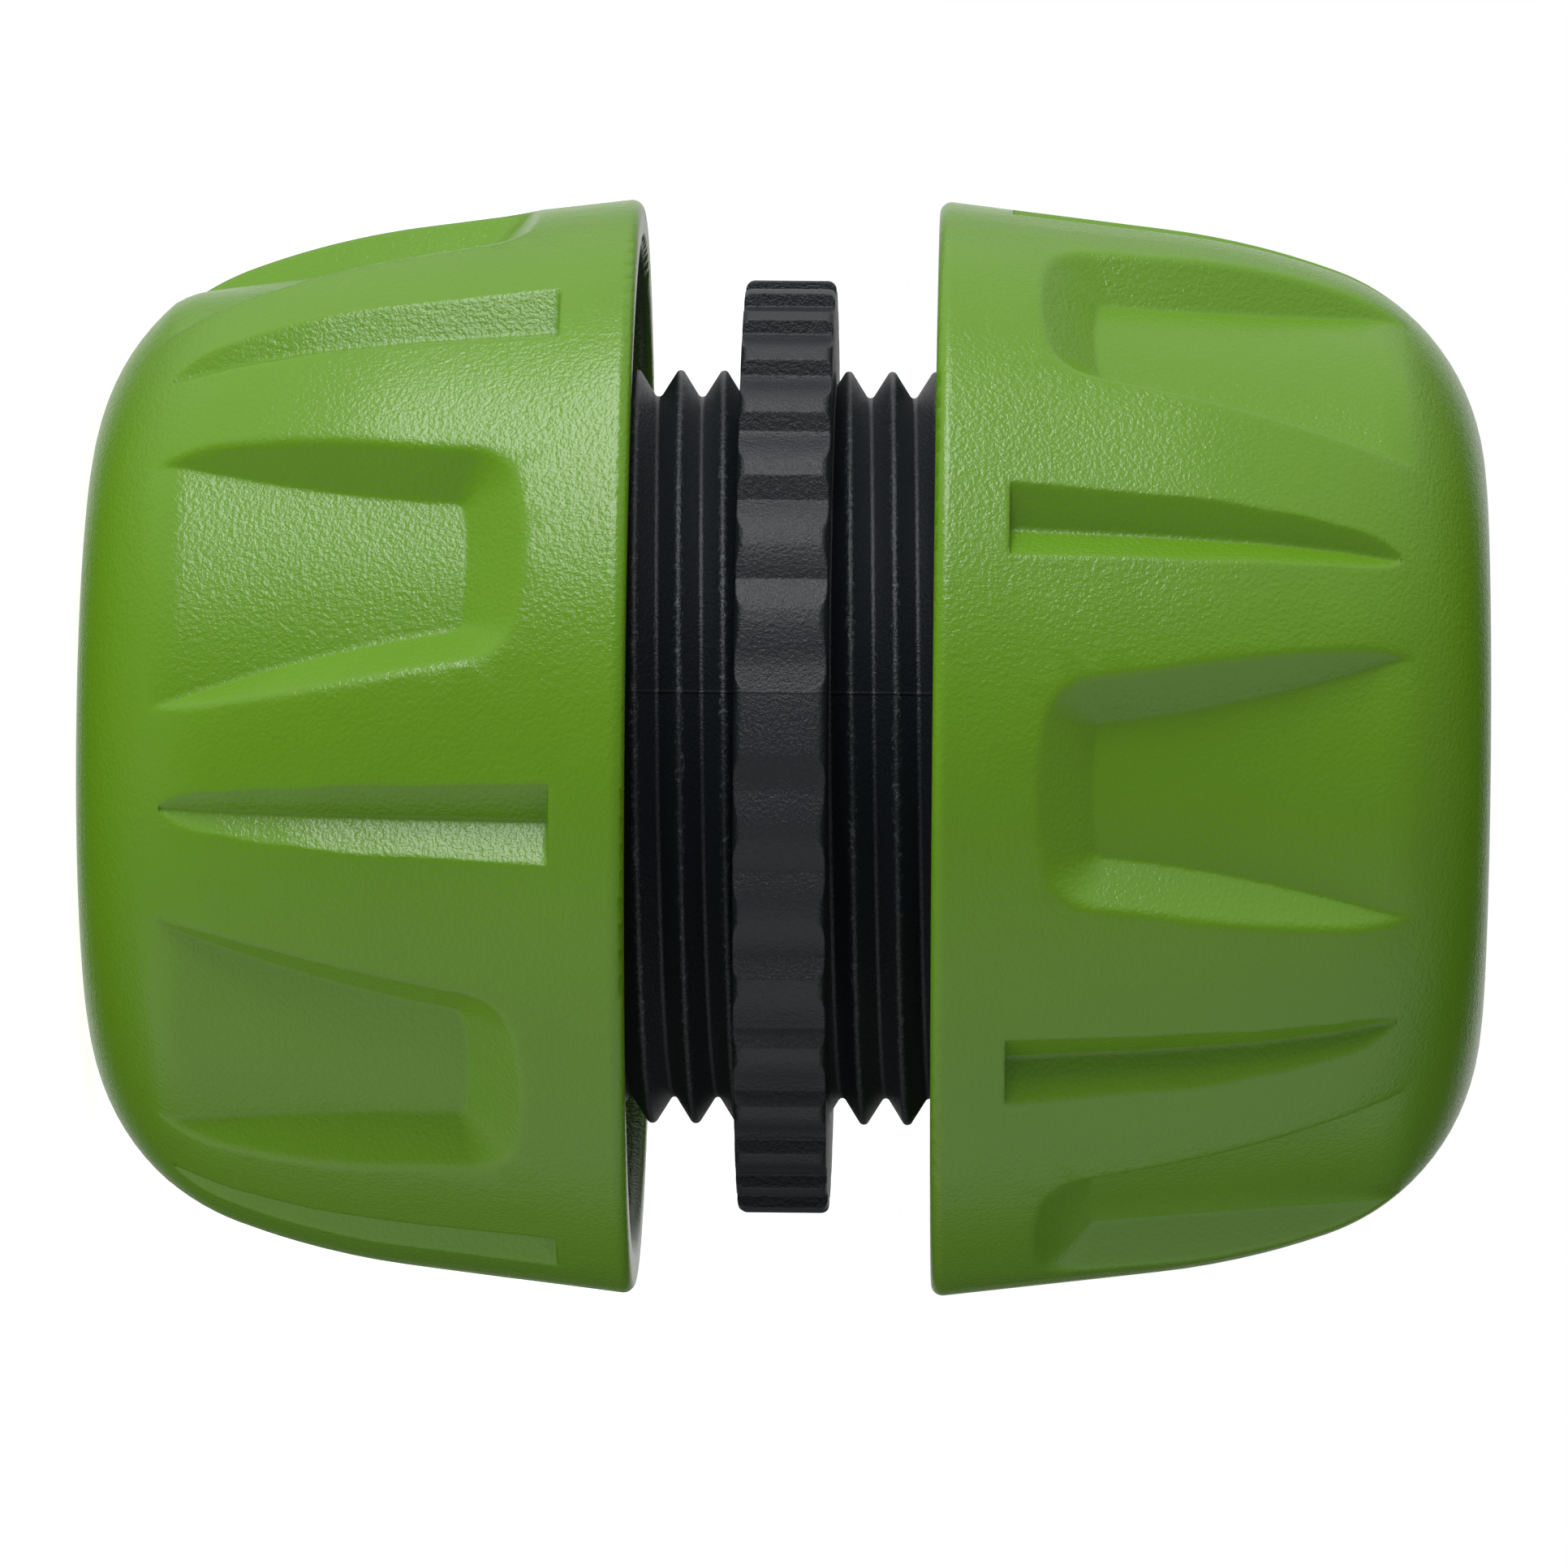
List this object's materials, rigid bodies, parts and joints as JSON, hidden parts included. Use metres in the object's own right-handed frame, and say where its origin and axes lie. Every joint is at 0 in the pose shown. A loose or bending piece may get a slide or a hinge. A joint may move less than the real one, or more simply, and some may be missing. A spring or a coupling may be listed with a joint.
{
  "type": "garden hose mender",
  "caption": "Double-ended garden hose mender: toothed centre body with barbed spigots, threaded clamp nuts with scooped grips, and split collets.",
  "frame": {"origin": "centre of the lower nut's end face, which the mender stands on", "axes": "+Z along the hose axis towards the upper nut; the picture's camera looks along +Y and its top is -X"},
  "size_m": [0.0376, 0.0376, 0.0478],
  "materials": {
    "body_plastic": "black injection-moulded plastic, satin gloss",
    "collet_plastic": "black flexible plastic",
    "nut_plastic": "leaf green plastic with a fine spark-eroded grain, satin gloss"
  },
  "bodies": {
    "body": {"mender_body": "body_plastic"},
    "lower_clamp": {"lower_collet": "collet_plastic"},
    "lower_grip": {"lower_nut": "nut_plastic"},
    "upper_clamp": {"upper_collet": "collet_plastic"},
    "upper_grip": {"upper_nut": "nut_plastic"}
  },
  "joints": [
    {"name": "lower_travel", "type": "slide", "parent": "body", "child": "lower_clamp", "axis": [0, 0, 1], "range_m": [-0.00337, 0.00487]},
    {"name": "lower_turn", "type": "hinge", "parent": "lower_clamp", "child": "lower_grip", "pos_m": [0, 0, 0.0094], "axis": [0, 0, 1], "range_deg": [-810, 1170]},
    {"name": "upper_travel", "type": "slide", "parent": "body", "child": "upper_clamp", "axis": [0, 0, 1], "range_m": [-0.00487, 0.00337]},
    {"name": "upper_turn", "type": "hinge", "parent": "upper_clamp", "child": "upper_grip", "pos_m": [0, 0, 0.0384], "axis": [0, 0, 1], "range_deg": [-1170, 810]}
  ],
  "couplings": [
    {"joint": "lower_travel", "follows": "lower_turn", "m_per_rad": 0.00023873},
    {"joint": "upper_travel", "follows": "upper_turn", "m_per_rad": 0.00023873}
  ]
}
